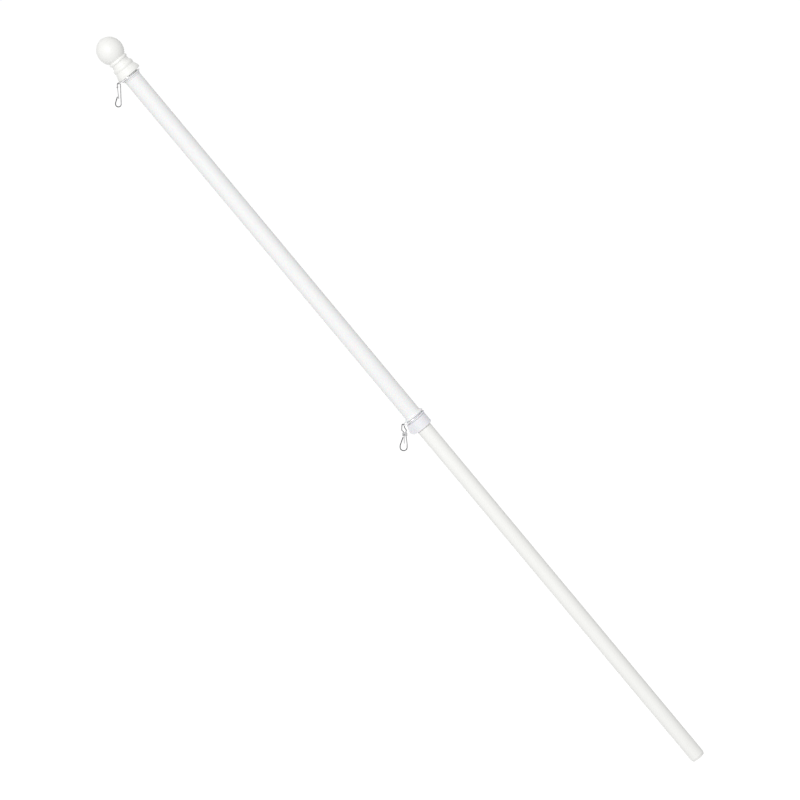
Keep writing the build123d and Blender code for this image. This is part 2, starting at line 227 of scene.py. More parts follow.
def softened(line: Array, step: float, width: float) -> Array:
    """Softens every corner of a line, as thick paint does.

    The line is sampled at even steps, and each point becomes the mean of its neighbours with weights
    exp(-(d / width)^2 / 2), where d is the distance along the line. The ends stay.

    Args:
        line: The line's points, two columns wide.
        step: Distance between the new points.
        width: How far the softening reaches.

    Returns:
        The softened line, two columns wide.
    """
    run = np.concatenate([[0.0], np.cumsum(np.linalg.norm(np.diff(line, axis=0), axis=1))])
    even = np.linspace(0, run[-1], math.ceil(run[-1] / step) + 1)
    reach = math.ceil(3 * width / step)
    weights = np.exp(-0.5 * (np.arange(-reach, reach + 1) * step / width) ** 2)
    sampled = [np.interp(even, run, line[:, k]) for k in range(2)]
    padded = [np.pad(s, reach, mode="reflect", reflect_type="odd") for s in sampled]
    return np.stack([np.convolve(p, weights / weights.sum(), mode="valid") for p in padded], axis=-1)


def lathe(axes: Axes, profile: Array, columns: int = 96, joined: bool = False) -> Surface:
    """Turns a profile about the third axis.

    The point at row i and angle a is (r_i cos(a), r_i sin(a), h_i). A profile that isn't joined starts and ends on
    the axis, and those two points close the surface.

    Args:
        axes: The axes to turn it in.
        profile: Radius and height of each row.
        columns: How many points each row has.
        joined: Whether the profile runs on from its last point to its first.

    Returns:
        The turned surface.
    """
    angle = np.linspace(0, 2 * np.pi, columns, endpoint=False)
    rows = profile if joined else profile[1:-1]
    radius, height = rows[:, :1], rows[:, 1:]
    grid = axes.place(radius * np.cos(angle), radius * np.sin(angle), height)
    if joined:
        return Surface(grid, joined=True)
    return Surface(grid, start=axes.place(0, 0, profile[0, 1]), end=axes.place(0, 0, profile[-1, 1]))


def bent_wire(axes: Axes, line: Array, radius: float, depth: float = 0.0, sides: int = 20) -> Surface:
    """Carries a round section along a line in the first two axes, and domes both ends.

    At a point P of the line, with N square to it in its plane, the section is P + r (cos(a) N + sin(a) Z). Past an
    end the section shrinks as r cos(b) while it moves on by k r sin(b), where k is END_DOME.

    Args:
        axes: The axes that the line lies in.
        line: The wire's centre line, two columns wide.
        radius: The wire's radius.
        depth: The line's distance along the third axis.
        sides: How many points each section has.

    Returns:
        The wire's surface.
    """
    runs = np.diff(line, axis=0)
    runs /= np.linalg.norm(runs, axis=1)[:, None]
    along = np.concatenate([runs[:1], runs[:-1] + runs[1:], runs[-1:]])
    along /= np.linalg.norm(along, axis=1)[:, None]
    bow = np.radians(DOME_ROWS)
    rise = END_DOME * radius
    first = line[0] - np.outer(np.sin(bow), along[0]) * rise
    last = line[-1] + np.outer(np.sin(bow[::-1]), along[-1]) * rise
    centre = np.concatenate([first, line, last])
    direction = np.concatenate([np.repeat(along[:1], len(bow), axis=0), along, np.repeat(along[-1:], len(bow), axis=0)])
    width = radius * np.concatenate([np.cos(bow), np.ones(len(line)), np.cos(bow[::-1])])[:, None]
    angle = np.linspace(0, 2 * np.pi, sides, endpoint=False)
    out, up = width * np.cos(angle), width * np.sin(angle)
    grid = axes.place(centre[:, :1] - direction[:, 1:] * out, centre[:, 1:] + direction[:, :1] * out, depth + up)
    tips = [line[0] - along[0] * rise, line[-1] + along[-1] * rise]
    bend = bent_share(centre, TIGHT_BEND * radius, BEND_SPREAD * radius)
    return Surface(grid, start=axes.place(*tips[0], depth), end=axes.place(*tips[1], depth), bend=bend)


def bent_share(line: Array, tight: float, spread: float) -> Array:
    """Works out how hard a wire was bent along its centre line.

    A point's own share is the turn there over the length that it takes, times the tight radius, and at most 1. It
    is then spread over its neighbours with weights exp(-(d / spread)^2 / 2) times the length that each stands for.

    Args:
        line: The centre line.
        tight: A bend of this radius or a smaller one counts in full.
        spread: How far a bend shows past its end.

    Returns:
        The share at each point of the line.
    """
    runs = np.diff(line, axis=0)
    length = np.linalg.norm(runs, axis=1)
    heading = np.unwrap(np.arctan2(runs[:, 1], runs[:, 0]))
    place = np.concatenate([[0.0], np.cumsum(length)])
    stands_for = np.concatenate([length[:1], length[1:] + length[:-1], length[-1:]]) / 2
    turn = np.concatenate([[0.0], np.abs(np.diff(heading)), [0.0]])
    share = np.minimum(turn / stands_for * tight, 1.0)
    weights = np.exp(-0.5 * ((place[:, None] - place) / spread) ** 2) * stands_for
    return weights @ share / weights.sum(axis=1)


def shaded_arm(hook: Surface) -> Surface:
    """Counts a hook's free arm as bent in full, for painted shade, from its lowest point to its free end, its last.

    Args:
        hook: The hook's wire.

    Returns:
        The same wire with the new bends.
    """
    height = hook.grid[..., 2].mean(axis=1)
    past = np.arange(len(height)) > height.argmin()
    return replace(hook, bend=np.where(past, 1.0, hook.bend))


def smaller(a: Array, b: Array, blend: float) -> Array:
    """Returns min(a, b) with its crease rounded: it drops by h^2 blend / 4, where h = max(1 - |a - b| / blend, 0)."""
    near = np.maximum(1 - np.abs(a - b) / blend, 0)
    return np.minimum(a, b) - near**2 * blend / 4


def eased(share: Array) -> Array:
    """Returns 3 t^2 - 2 t^3, where t is the share held between 0 and 1: a rise with flat ends."""
    t = np.clip(share, 0, 1)
    return t * t * (3 - 2 * t)


# ---- finishes ----


class Lay(Enum):
    """Which way the fine lines of a finish run on the pole."""

    ALONG = "along"
    ROUND = "round"
    EVEN = "even"

    def stretch(self, long: float) -> Triple:
        """Returns how many times longer a mark is along each of the pole's axes."""
        return {Lay.ALONG: (1.0, 1.0, long), Lay.ROUND: (long, long, 1.0), Lay.EVEN: (1.0, 1.0, 1.0)}[self]


@dataclass(frozen=True)
class Marks:
    """The marks of a noise pattern."""

    size: float  # how large they are across
    detail: float  # how many finer layers they have
    long: float = 1.0  # how many times longer they are along the lay


class Graph:
    """The nodes of a new material or world, with short ways to add and join them."""

    def __init__(self, owner: bpy.types.Material | bpy.types.World) -> None:
        """Starts with no nodes.

        Args:
            owner: The material or world whose nodes these are.
        """
        owner.use_nodes = True
        self.owner, self.tree = owner, owner.node_tree
        self.tree.nodes.clear()

    def add(self, kind: str, inputs: dict[str | int, Any] | None = None, **settings: Any) -> bpy.types.Node:
        """Adds a node.

        Args:
            kind: The node's type.
            inputs: A value or another node's output for each input, by its name or number.
            settings: The node's own properties.

        Returns:
            The new node.
        """
        node = self.tree.nodes.new(kind)
        for key, value in settings.items():
            setattr(node, key, value)
        for key, value in (inputs or {}).items():
            if isinstance(value, Socket):
                self.tree.links.new(value, node.inputs[key])
            else:
                node.inputs[key].default_value = value
        return node

    def math(self, operation: str, first: Socket, second: Socket | float, clamp: bool = False) -> Socket:
        """Returns two values joined by an operation, held between 0 and 1 if it is clamped."""
        return self.add("ShaderNodeMath", {0: first, 1: second}, operation=operation, use_clamp=clamp).outputs[0]

    def noise(self, marks: Marks, lay: Lay | None = None, turn: float = 0.0) -> Socket:
        """Adds a noise pattern on the object's own coordinates.

        Args:
            marks: Its marks.
            lay: Which way they run, on a pattern that follows the pole's axes.
            turn: The pole's lean, in radians.

        Returns:
            Its value, from 0 to 1.
        """
        place = self.add("ShaderNodeTexCoord").outputs["Object"]
        if lay is not None:
            inputs = {"Vector": place, "Rotation": (0.0, -turn, 0.0), "Scale": lay.stretch(marks.long)}
            place = self.add("ShaderNodeMapping", inputs, vector_type="TEXTURE").outputs["Vector"]
        inputs = {"Vector": place, "Scale": 1 / marks.size, "Detail": marks.detail}
        return self.add("ShaderNodeTexNoise", inputs).outputs["Fac"]

    def spread(self, value: Socket, target: Pair = (0.0, 1.0), source: Pair = (0.3, 0.7)) -> Socket:
        """Returns a value spread from one range, the middle of a pattern's if none is given, over another."""
        ends = dict(zip(("From Min", "From Max", "To Min", "To Max"), source + target))
        return self.add("ShaderNodeMapRange", {"Value": value, **ends}).outputs["Result"]

    def tint(self, share: Socket, first: Triple, second: Triple) -> Socket:
        """Returns the first colour mixed with a share of the second."""
        inputs = {0: share, 6: (*first, 1.0), 7: (*second, 1.0)}
        return self.add("ShaderNodeMix", inputs, data_type="RGBA").outputs[2]

    def relief(self, height: Socket, depth: float, under: Socket | None = None) -> Socket:
        """Returns the surface's direction with relief of a depth in metres, on other relief if there is some."""
        lower = {} if under is None else {"Normal": under}
        return self.add("ShaderNodeBump", {"Height": height, "Distance": depth, "Strength": 1.0, **lower}).outputs[0]

    def finish(self, inputs: dict[str | int, Any]) -> bpy.types.Material:
        """Ends the material with a Principled shader.

        Args:
            inputs: A value or an output for each of the shader's inputs.

        Returns:
            The finished material.
        """
        shader = self.add("ShaderNodeBsdfPrincipled", inputs)
        self.add("ShaderNodeOutputMaterial", {"Surface": shader.outputs["BSDF"]})
        return self.owner


@dataclass(frozen=True)
class Paint:
    """Satin paint over turned wood: faint grain under a skin with a soft ripple."""

    name: str
    lay: Lay  # which way the grain runs
    turn: float  # the pole's lean, in radians
    colour: Triple = (0.915, 0.915, 0.895)
    thin: Triple = (0.890, 0.890, 0.865)  # its colour where it lies thinner over the grain
    sheen: Pair = (0.30, 0.44)  # its lowest and highest roughness
    grain: Marks = Marks(1.6 * MM, 5.0, 28.0)  # the marks of the grain
    patches: Marks = Marks(22 * MM, 2.0, 4.0)  # the marks of the paint's thicker and thinner patches
    ripple: Marks = Marks(3.2 * MM, 2.0)  # the marks of the ripple
    thinning: Pair = (0.12, 0.42)  # between which values of grain times patches the paint thins
    depths: Pair = (0.028 * MM, 0.05 * MM)  # depth of the grain and of the ripple
    index: float = 1.48  # its index of refraction
    gloss: Pair = (0.12, 0.22)  # weight and roughness of the clear skin on top

    def material(self) -> bpy.types.Material:
        """Builds the paint's nodes.

        Returns:
            The paint as a material.
        """
        graph = Graph(bpy.data.materials.new(self.name))
        grain, patches, ripple = (graph.noise(m, self.lay, self.turn) for m in (self.grain, self.patches, self.ripple))
        share = graph.spread(graph.math("MULTIPLY", grain, patches), source=self.thinning)
        inputs = {
            "Base Color": graph.tint(share, self.colour, self.thin),
            "Roughness": graph.spread(patches, self.sheen),
            "Normal": graph.relief(ripple, self.depths[1], graph.relief(grain, self.depths[0])),
            "IOR": self.index,
            "Coat Weight": self.gloss[0],
            "Coat Roughness": self.gloss[1],
        }
        return graph.finish(inputs)


@dataclass(frozen=True)
class Plastic:
    """Moulded or drawn plastic: an even colour with faint flow marks and a very fine texture."""

    name: str
    turn: float  # the pole's lean, in radians
    colour: Triple
    flow: Triple  # its colour in the flow marks
    lay: Lay = Lay.EVEN  # which way the flow marks run
    sheen: Pair = (0.24, 0.34)  # its lowest and highest roughness
    marks: Marks = Marks(4.0 * MM, 3.0)  # the flow marks
    texture: Marks = Marks(0.35 * MM, 2.0)  # the marks of the texture
    cloud: Marks = Marks(30 * MM, 2.0, 3.0)  # the marks of duller and glossier patches
    depths: Pair = (0.02 * MM, 0.004 * MM)  # depth of the flow marks and of the texture
    index: float = 1.49  # its index of refraction
    milk: Pair = (0.06, 0.6 * MM)  # how much light goes under the surface, and how far

    def material(self) -> bpy.types.Material:
        """Builds the plastic's nodes.

        Returns:
            The plastic as a material.
        """
        graph = Graph(bpy.data.materials.new(self.name))
        marks, texture, cloud = (graph.noise(m, self.lay, self.turn) for m in (self.marks, self.texture, self.cloud))
        inputs = {
            "Base Color": graph.tint(graph.spread(marks), self.colour, self.flow),
            "Roughness": graph.spread(cloud, self.sheen),
            "Normal": graph.relief(texture, self.depths[1], graph.relief(marks, self.depths[0])),
            "IOR": self.index,
            "Subsurface Weight": self.milk[0],
            "Subsurface Scale": self.milk[1],
        }
        return graph.finish(inputs)


@dataclass(frozen=True)
class Metal:
    """Plated or plain steel: darker in fine pits and streaks of duller plating, with painted shade at bends."""

    name: str
    bright: Triple  # the metal's colour where it is clean
    dull_and_shade: Triple  # its colour in the pits and streaks, and the painted shade where the metal was bent
    sheen: Pair = (0.20, 0.38)  # its lowest and highest roughness
    pit: float = 0.5 * MM  # size of the pits
    streak: float = 7.0  # how many times larger the streaks are
    details: Pair = (4.0, 2.0)  # how many finer layers the pits and the streaks have
    dulling: Pair = (0.15, 0.38)  # between which values of pits times streaks the metal dulls
    most: float = 0.5  # how dull they make it at most
    depth: float = 0.008 * MM  # depth of the pits

    def material(self) -> bpy.types.Material:
        """Builds the metal's nodes.

        Returns:
            The metal as a material.
        """
        graph = Graph(bpy.data.materials.new(self.name))
        sizes = (self.pit, self.streak * self.pit)
        pits, streaks = (graph.noise(Marks(*mark)) for mark in zip(sizes, self.details))
        share = graph.spread(graph.math("MULTIPLY", pits, streaks), (0.0, self.most), self.dulling)
        # The bend attribute pulls the colour toward the second one: painted shade at bends and on hooks' free arms.
        bend = graph.add("ShaderNodeAttribute", attribute_name=BEND_SHADE).outputs["Fac"]
        inputs = {
            "Base Color": graph.tint(graph.math("ADD", share, bend, clamp=True), self.bright, self.dull_and_shade),
            "Metallic": 1.0,
            "Roughness": graph.spread(streaks, self.sheen),
            "Normal": graph.relief(pits, self.depth),
        }
        return graph.finish(inputs)


# ---- the frame's places ----


@dataclass(frozen=True)
class Reach:
    """How far a CAD node reaches along the pole and out from its axis."""

    bottom: float  # height along the pole at which it starts
    top: float  # height along the pole at which it ends
    back: float  # least distance from the axis toward the side that the collar's boss is on
    front: float  # greatest distance from the axis toward that side
    inner: float  # its smallest radius about the axis
    outer: float  # its largest radius about the axis


class Pole:
    """The pole's own axes, and what is measured along them on the CAD nodes."""

    def __init__(self, record: dict[str, Any], nodes: dict[str, bpy.types.Object]) -> None:
        """Reads the axes from the mount at the butt.

        Args:
            record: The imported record.
            nodes: The CAD nodes by name.
        """
        butt = next(m for m in record["mounts"] if m["name"] == "butt_face")
        up = -unit(np.array(butt["axis"], float))
        across = np.array([up[2], 0.0, -up[0]])
        self.axes = Axes(np.array(butt["pos_m"], float), across, np.cross(up, across), up)
        self.lean = math.atan2(-up[0], up[2])
        self.nodes = nodes

    def reach(self, node: str) -> Reach:
        """Measures a CAD node in the pole's axes.

        Args:
            node: The node's name.

        Returns:
            How far it reaches.
        """
        mesh = self.nodes[node].data
        flat = np.zeros(len(mesh.vertices) * 3, np.float32)
        mesh.vertices.foreach_get("co", flat)
        offset = flat.reshape(-1, 3).astype(float) - self.axes.origin
        local = offset @ np.stack([self.axes.x, self.axes.y, self.axes.z], axis=-1)
        low, high = local.min(axis=0), local.max(axis=0)
        radius = np.hypot(local[:, 0], local[:, 1])
        return Reach(*(float(v) for v in (low[2], high[2], -high[0], -low[0], radius.min(), radius.max())))


def shown(name: str, data: bpy.types.ID) -> bpy.types.Object:
    """Returns a new object that the scene shows.

    Args:
        name: Its name.
        data: Its mesh, lamp or camera.

    Returns:
        The new object.
    """
    made = bpy.data.objects.new(name, data)
    bpy.context.scene.collection.objects.link(made)
    return made


@dataclass(frozen=True)
class Piece:
    """One visible piece and what it stands for."""

    name: str  # the new object's name
    node: str  # the CAD node that it replaces
    body: str  # the CAD body that it rides on
    slot: str  # the record's material slot that its finish belongs to
    surfaces: Sequence[Surface]  # the closed surfaces that it is made of
    material: bpy.types.Material  # its finish

    def build(self) -> None:
        """Makes the mesh, faces it outwards, and hands it to the frame."""
        points: list[Array] = []
        faces: list[list[int]] = []
        count = 0
        for surface in self.surfaces:
            vertices = surface.vertices()
            quads, fans = surface.faces()
            triangles = np.concatenate([quads[:, [0, 1, 2]], quads[:, [0, 2, 3]], fans])
            if enclosed(vertices - vertices.mean(axis=0), triangles) < 0:
                quads, fans = quads[:, ::-1], fans[:, ::-1]
            points.append(vertices)
            faces += (quads + count).tolist() + (fans + count).tolist()
            count += len(vertices)
        mesh = bpy.data.meshes.new(self.name)
        mesh.from_pydata(np.concatenate(points).tolist(), [], faces)
        mesh.shade_smooth()
        mesh.materials.append(self.material)
        if any(surface.bend is not None for surface in self.surfaces):
            bends = np.concatenate([surface.bends() for surface in self.surfaces])
            mesh.attributes.new(BEND_SHADE, "FLOAT", "POINT").data.foreach_set("value", bends.astype(np.float32))
        made = shown(self.name, mesh)
        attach(made, self.body)
        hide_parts(self.node)
        log.info("%s: %d faces, on %s in place of %s", self.name, len(faces), self.body, self.node)


# ---- the wooden pole ----


@dataclass
class WoodenPole:
    """The painted shaft and the turned finial glued over its top."""

    pole: Pole  # the frame's measured places
    chamfer: Pair = (1.5 * MM, 4.0 * MM)  # depth and height of the butt's chamfer
    edge: float = 0.35 * MM  # radius that sanding and paint leave on the shaft's edges
    socket: float = 15.0 * MM  # how deep the finial's bore is
    glue: float = 0.05 * MM  # gap between the bore and the shaft
    # radius and height of the finial's outline above its bottom, from its skirt to the foot of its bead
    turned: tuple[Pair, ...] = ((20.0 * MM, 0.0), (20.7 * MM, 0.9 * MM), (20.7 * MM, 4.6 * MM), (17.2 * MM, 12.6 * MM))
    # radius and height of the bead's crest and of its upper end
    bead: tuple[Pair, Pair] = ((18.1 * MM, 16.6 * MM), (15.6 * MM, 20.6 * MM))
    neck: Triple = (15.1 * MM, 23.2 * MM, 26.2 * MM)  # radius, lower height and upper height of the neck
    # radius and height of the crest and of the upper end of the ring below the ball
    astragal: tuple[Pair, Pair] = ((16.7 * MM, 28.8 * MM), (15.1 * MM, 31.4 * MM))
    throat: float = 32.6 * MM  # height at which the ball starts
    ball: Pair = (21.88 * MM, 23.6 * MM)  # radius of the ball and half its height
    paint_skin: float = 0.22 * MM  # how far the paint softens a corner
    step: float = 0.4 * MM  # distance between the points of the softened outline
    ball_rows: int = 90  # how many points the ball's outline has before that

    def shaft(self) -> Surface:
        """Turns the dowel, with a chamfer at its butt.

        Returns:
            The dowel's surface.
        """
        reach, (cut, rise) = self.pole.reach("shaft"), self.chamfer
        radius, low, high = reach.outer, reach.bottom, reach.top
        corners = [(0.0, low), (radius - cut, low), (radius, low + rise), (radius, high), (0.0, high)]
        return lathe(self.pole.axes, rounded_line(corners, [0.0, self.edge, 3 * self.edge, self.edge, 0.0]))

    def finial(self) -> Surface:
        """Turns the finial from its socket, down and round its skirt, and up to the top of the ball.

        The ball is an ellipse, r = a cos(t) and h = c + b sin(t), cut where the throat meets it.

        Returns:
            The finial's surface.
        """
        reach = self.pole.reach("finial")
        base, bore = reach.bottom, self.pole.reach("shaft").outer + self.glue
        radius, half = self.ball
        centre = reach.top - base - half
        angle = np.linspace(math.asin((self.throat - centre) / half), math.pi / 2, self.ball_rows)
        crest, bead_end = self.bead
        neck, neck_low, neck_high = self.neck
        parts = [
            np.array([(0.0, self.socket), (bore, self.socket), (bore, 0.0)]),
            np.array(self.turned),
            arc_through(self.turned[-1], crest, bead_end),
            np.array([(neck, neck_low)]),
            arc_through((neck, neck_high), *self.astragal),
            np.stack([radius * np.cos(angle), centre + half * np.sin(angle)], axis=-1),
        ]
        line = softened(np.concatenate(parts), self.step, self.paint_skin)
        line[[0, -1], 0] = 0.0
        return lathe(self.pole.axes.moved(0, 0, base), line, FINE_COLUMNS)

    def build(self) -> None:
        """Builds both pieces and paints them."""
        along = Paint("shaft_paint", Lay.ALONG, self.pole.lean).material()
        around = Paint("finial_paint", Lay.ROUND, self.pole.lean).material()
        Piece("painted_shaft", "shaft", "pole", "pole_paint", [self.shaft()], along).build()
        Piece("turned_finial", "finial", "pole", "pole_paint", [self.finial()], around).build()


# ---- the tube and its caps ----


@dataclass
class SpinningTube:
    """The anti-wrap tube with a flared cap on each end."""

    pole: Pole  # the frame's measured places
    edge: float = 0.18 * MM  # radius of the tube's cut edges
    flange: float = 1.6 * MM  # the cap's flange thickness
    rim: float = 0.4 * MM  # radius of the flange's edges
    grip: float = 0.05 * MM  # gap between the tube and a cap's mouth
    mouth_wall: float = 0.7 * MM  # wall of the cap's mouth, over the tube
    lip: float = 0.2 * MM  # radius of the edges at the mouth
    sweep: Pair = (4.0, 82.0)  # where the flange's inner face starts and ends on its ellipse, in degrees
    sweep_rows: int = 18  # how many rows it has
    hold: float = 0.12 * MM  # how far from a rounded edge of the cap a straight run gets a point of its own

    def tube(self) -> Surface:
        """Draws the tube as a thin closed wall.

        Returns:
            The tube's surface.
        """
        reach = self.pole.reach("anti_wrap_tube")
        inner, outer, low, high = reach.inner, reach.outer, reach.bottom, reach.top
        line = rounded_line([(inner, low), (outer, low), (outer, high), (inner, high)], [self.edge] * 4, closed=True)
        return lathe(self.pole.axes, line, FINE_COLUMNS, joined=True)

    def cap(self, node: str, way: int) -> Surface:
        """Turns an end cap: a flange whose inner face sweeps down to a thin mouth over the tube.

        The sweep is most of a quarter of an ellipse: r = mouth + (foot - mouth) (1 - sin(t)), where the foot is the
        flange's radius less its rim, and h = flange + (height - flange) (1 - cos(t)).

        Args:
            node: The CAD node.
            way: 1 if the mouth points up the pole, -1 if it points down.

        Returns:
            The cap's surface.
        """
        reach, flange = self.pole.reach(node), self.flange
        seat = self.pole.reach("anti_wrap_tube").outer + self.grip
        mouth, height, foot = seat + self.mouth_wall, reach.top - reach.bottom, reach.outer - self.rim
        t = np.radians(np.linspace(*self.sweep, self.sweep_rows))
        across, up = mouth + (foot - mouth) * (1 - np.sin(t)), flange + (height - flange) * (1 - np.cos(t))
        sweep = np.stack([across, up], axis=-1)
        corners = [(reach.inner, 0.0), (reach.outer, 0.0), (reach.outer, flange), (foot - self.lip, flange)]
        outside = rounded_line(corners, [self.lip, self.rim, self.rim, 0.0], hold=self.hold)[1:-1]
        corners = [tuple(sweep[-1]), (mouth, height), (seat, height), (seat, flange), (reach.inner, flange)]
        inside = rounded_line(corners, [0.0, self.lip, self.lip, self.lip, 0.0], hold=self.hold)[1:]
        line = np.concatenate([np.array([[reach.inner, self.lip]]), outside, sweep, inside])
        line[:, 1] = (reach.bottom if way > 0 else reach.top) + way * line[:, 1]
        return lathe(self.pole.axes, line, joined=True)

    def build(self) -> None:
        """Builds the tube and its caps and gives them their plastics."""
        lean, marks = self.pole.lean, Marks(2.2 * MM, 3.0, 60.0)
        drawn = Plastic("tube_plastic", lean, (0.900, 0.902, 0.902), (0.880, 0.882, 0.884), Lay.ALONG, marks=marks)
        moulded = Plastic("cap_plastic", lean, (0.890, 0.892, 0.898), (0.870, 0.874, 0.882), sheen=(0.28, 0.40))
        cap_finish = moulded.material()
        Piece("spinning_tube", "anti_wrap_tube", "spinner", "tube_plastic", [self.tube()], drawn.material()).build()
        for end, way in (("upper", -1), ("lower", 1)):
            node = f"{end}_end_cap"
            Piece(f"{end}_flared_cap", node, "spinner", "cap_plastic", [self.cap(node, way)], cap_finish).build()


# ---- the stop collar ----


@dataclass
class StopCollar:
    """The collar that stops the tube, with a screw boss on its underside."""

    pole: Pole  # the frame's measured places
    body_radius: float = 16.4 * MM  # outer radius of the collar's body
    body_height: float = 18.2 * MM  # height of the body, up to the groove
    groove: Pair = (1.0 * MM, 1.3 * MM)  # height and depth of the groove
    edge: float = 0.5 * MM  # radius of the outer edges
    nose: float = 4.5 * MM  # radius of the boss's round nose
    foot: float = 1.8 * MM  # how far past the body the boss's underside starts to rise, at 45 degrees
    tip: float = 6.9 * MM  # how far past the body its underside would meet its sloping face
    brow: float = 2.8 * MM  # what the sloping face leaves of the boss at the top of the body
    blend: float = 0.9 * MM  # size of the fillets between the slopes, and between them and the body
    hold: float = 0.12 * MM  # how far from a rounded edge inside a straight run gets a point of its own
    past_edges: Pair = (1.4, 1.3)  # how far in the first point past the lower and upper outer edge is, in edge radii
    least_cosines: Pair = (0.3, 0.5)  # least cosine by which the slopes and the recess's floor are divided
    # start, end and step of each run of columns, in degrees from the boss's middle
    columns: tuple[Triple, ...] = ((0, 8.5, 0.25), (8.5, 52, 0.75), (52, 178, 3.5))
    # gap round the screw, width of the recess's edge, and how far under the screw's head its floor is
    recess: Triple = (0.03 * MM, 0.16 * MM, 0.25 * MM)
    # how many rows round off an outer edge, climb the body, and stand close together across the screw
    rows: tuple[int, int, int] = (7, 60, 46)
    close: float = 2.75 * MM  # how far from the screw's middle the close rows go
    groove_edges: Pair = (0.15 * MM, 0.4 * MM)  # radius of the edges at the bottom and top of the groove
    bore_edge: float = 0.25 * MM  # radius of the bore's edges
    screw_radius: float = 2.5 * MM  # radius of the screw
    slot: Pair = (0.8 * MM, 1.0 * MM)  # width and depth of the screw's slot
    slot_wall: float = 0.02 * MM  # how far out the slot's wall leans over its depth
    screw_rows: int = 41  # how many rows the screw has, before those at the slot's walls
    screw_edge: float = 0.06  # rounding of the screw's ends, as a share of half its width
    screw_hold: float = 0.04  # the same as hold for the screw, as a share of half its width

    def outline(self, angle: Array, height: Array, boss: float, bottom: float) -> Array:
        """Works out the radius of the body with its boss.

        Seen along the pole, the outline is the hull of two circles, the body's and the boss's nose. With their
        centres d apart, its straight flanks are at R / cos(t - a) in a direction at an angle a from the boss's
        middle, where cos(t) = (R - r) / d; the body's circle takes over past t, and the nose's before the angle
        of its own end, where the radius is d cos(a) + sqrt(r^2 - d^2 sin(a)^2). Two slopes cut the boss off, and
        their creases are rounded. On the body's far side the slopes lie well outside it, and the least cosine there
        only keeps the division from failing.

        Args:
            angle: Angles from the boss's middle.
            height: Heights along the pole.
            boss: How far the boss's nose reaches from the axis.
            bottom: Height of the collar's bottom.

        Returns:
            The radii, heights by angles.
        """
        side = np.arccos(np.clip(np.cos(angle), -1, 1))
        apart, body, nose = boss - self.nose, self.body_radius, self.nose
        turn = math.acos((body - nose) / apart)
        nose_end = math.atan2(nose * math.sin(turn), apart + nose * math.cos(turn))
        flank = body / np.cos(np.maximum(turn - side, 0))
        ball = apart * np.cos(side) + np.sqrt(np.maximum(nose**2 - (apart * np.sin(side)) ** 2, 0))
        hull = np.where(side < nose_end, ball, flank)
        tip_height = bottom + self.tip - self.foot
        fall = (self.tip - self.brow) / (bottom + self.body_height - tip_height)
        under, face = self.foot + height - bottom, self.tip - (height - tip_height) * fall
        cut = smaller(under, face, self.blend) + body
        slopes = cut / np.maximum(np.cos(side), self.least_cosines[0])
        return smaller(np.broadcast_to(hull, (len(height), len(angle))), slopes, self.blend)

    def collar(self) -> Surface:
        """Forms the collar as one closed wall.

        Its columns are angles from the boss's middle, close together across the screw and the flanks. Its rows
        climb the outside, with a quarter circle at each outer edge, go in at the groove, out and over the lip, and
        down the bore. Inside the screw's circle the boss's face drops to just under the screw's head.

        Returns:
            The collar's surface.
        """
        reach, screw = self.pole.reach("stop_collar"), self.pole.reach("collar_screw")
        bottom, top, bore, edge = reach.bottom, reach.top, reach.inner, self.edge
        body_top, waist = bottom + self.body_height, self.body_radius - self.groove[1]
        lip_bottom, lip = body_top + self.groove[0], self.pole.reach("upper_end_cap").outer
        half = np.radians(np.concatenate([np.arange(*run) for run in self.columns]))
        angle = np.concatenate([half, [np.pi], 2 * np.pi - half[:0:-1]])
        edge_rows, body_rows, close_rows = self.rows
        arc = np.radians(np.linspace(0, 90, edge_rows))
        even = np.linspace(bottom + edge, body_top - edge, body_rows)
        screw_height = (screw.bottom + screw.top) / 2
        close = screw_height + np.linspace(-self.close, self.close, close_rows)
        middle = np.unique(np.concatenate([even, close]))[1:-1]
        low, high = bottom + edge * (1 - np.cos(arc)), body_top - edge + edge * np.sin(arc)
        height = np.concatenate([low, middle, high, [body_top]])[:, None]
        low_inset, high_inset = edge * (1 - np.sin(arc)), edge * (1 - np.cos(arc))
        past_low, past_high = self.past_edges
        inset = np.concatenate([low_inset, np.zeros(len(middle)), high_inset, [past_high * edge]])[:, None]
        outside = self.outline(angle, height, reach.front, bottom) - inset
        gap, rim, sunk = self.recess
        away = np.hypot(-outside * np.sin(angle), height - screw_height) - (self.screw_radius + gap)
        rise = np.where(np.cos(angle) > 0, eased(away / rim + 0.5), 1.0)
        floor = (screw.front - sunk) / np.maximum(np.cos(angle), self.least_cosines[1])
        outside = floor + (outside - floor) * rise
        groove = [(waist, body_top), (waist, lip_bottom), (lip, lip_bottom), (lip, top)]
        inner = rounded_line(
            [*groove, (bore, top), (bore, bottom), (self.body_radius - past_low * edge, bottom)],
            [*self.groove_edges, edge, edge, self.bore_edge, self.bore_edge, 0.0],
            hold=self.hold,
        )
        radius = np.concatenate([outside, np.repeat(inner[:, :1], len(angle), axis=1)])
        rows = np.concatenate([height, inner[:, 1:]])
        grid = self.pole.axes.place(-radius * np.cos(angle), radius * np.sin(angle), rows)
        return Surface(grid, joined=True)

